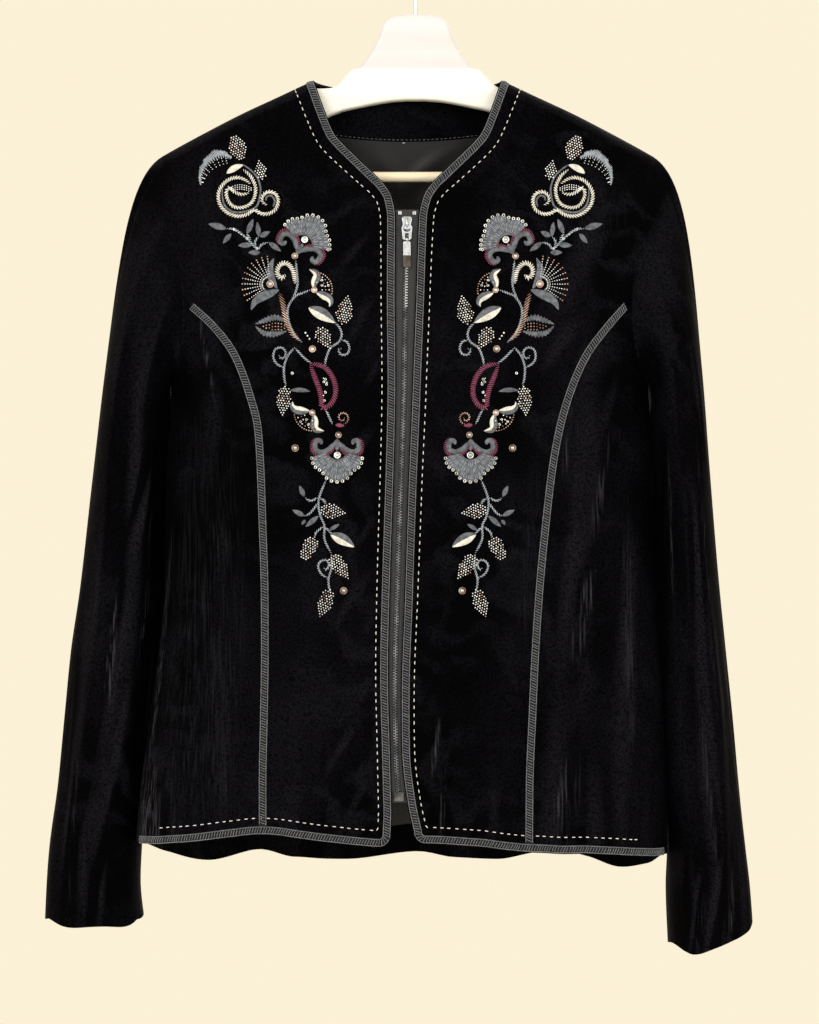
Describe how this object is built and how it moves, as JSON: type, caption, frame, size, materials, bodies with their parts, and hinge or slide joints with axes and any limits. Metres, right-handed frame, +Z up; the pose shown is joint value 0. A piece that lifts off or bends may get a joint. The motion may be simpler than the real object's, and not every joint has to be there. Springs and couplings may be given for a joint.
{
  "type": "velvet jacket on a hanger",
  "caption": "Black velvet zip jacket with grey braid, princess seams and mirrored beaded floral embroidery, hanging on a plain pale wooden hanger.",
  "frame": {"origin": "inside top of the hanger's hook, where it rests on a rail", "axes": "+Z up along the hook's stem, -Y out of the jacket's front, +X to the wearer's left"},
  "size_m": [0.5811, 0.1356, 0.8352],
  "materials": {
    "velvet": "black pile with a faint cool sheen",
    "lining": "dark grey satin",
    "braid": "grey overlock braid",
    "zip_tape": "woven dark grey",
    "zip_metal": "polished",
    "zip_dark": "dark bronze",
    "hanger_wood": "pale lacquer",
    "bar_wood": "bare pale wood",
    "hook_steel": "bright wire",
    "braid_thread": "grey thread",
    "stitch": "white thread",
    "thread_grey": "grey satin stitch",
    "thread_pale": "pale blue satin stitch",
    "thread_cream": "cream satin stitch",
    "thread_magenta": "magenta satin stitch",
    "bead_silver": "silver seed beads",
    "bead_bronze": "bronze seed beads",
    "sequin": "clear sequins"
  },
  "bodies": {
    "jacket": {"front_right": "velvet", "side_front_right": "velvet", "sleeve_right": "velvet", "trim_front_right": "braid", "trim_princess_right": "braid", "front_left": "velvet", "side_front_left": "velvet", "sleeve_left": "velvet", "trim_front_left": "braid", "trim_princess_left": "braid", "back": "velvet", "trim_back_neck": "braid", "back_neck_facing": "velvet", "back_lining": "lining", "zip_tape_right": "zip_tape", "zip_stop_right": "zip_metal", "zip_tape_left": "zip_tape", "zip_stop_left": "zip_metal", "zip_box": "zip_metal", "zip_slider": "zip_metal", "hanger_body": "hanger_wood", "hanger_bar": "bar_wood", "hanger_hook": "hook_steel"},
    "zip_link": {"zip_link": "zip_metal"},
    "zip_tab": {"zip_tab": "zip_metal"}
  },
  "joints": [
    {"name": "link_swing", "type": "hinge", "parent": "jacket", "child": "zip_link", "pos_m": [-0.00698, -0.04426, -0.245], "axis": [-1, 0, 0], "range_deg": [0, 100]},
    {"name": "tab_swing", "type": "hinge", "parent": "zip_link", "child": "zip_tab", "pos_m": [-0.00698, -0.04623, -0.25785], "axis": [-1, 0, 0], "range_deg": [0, 75]}
  ]
}
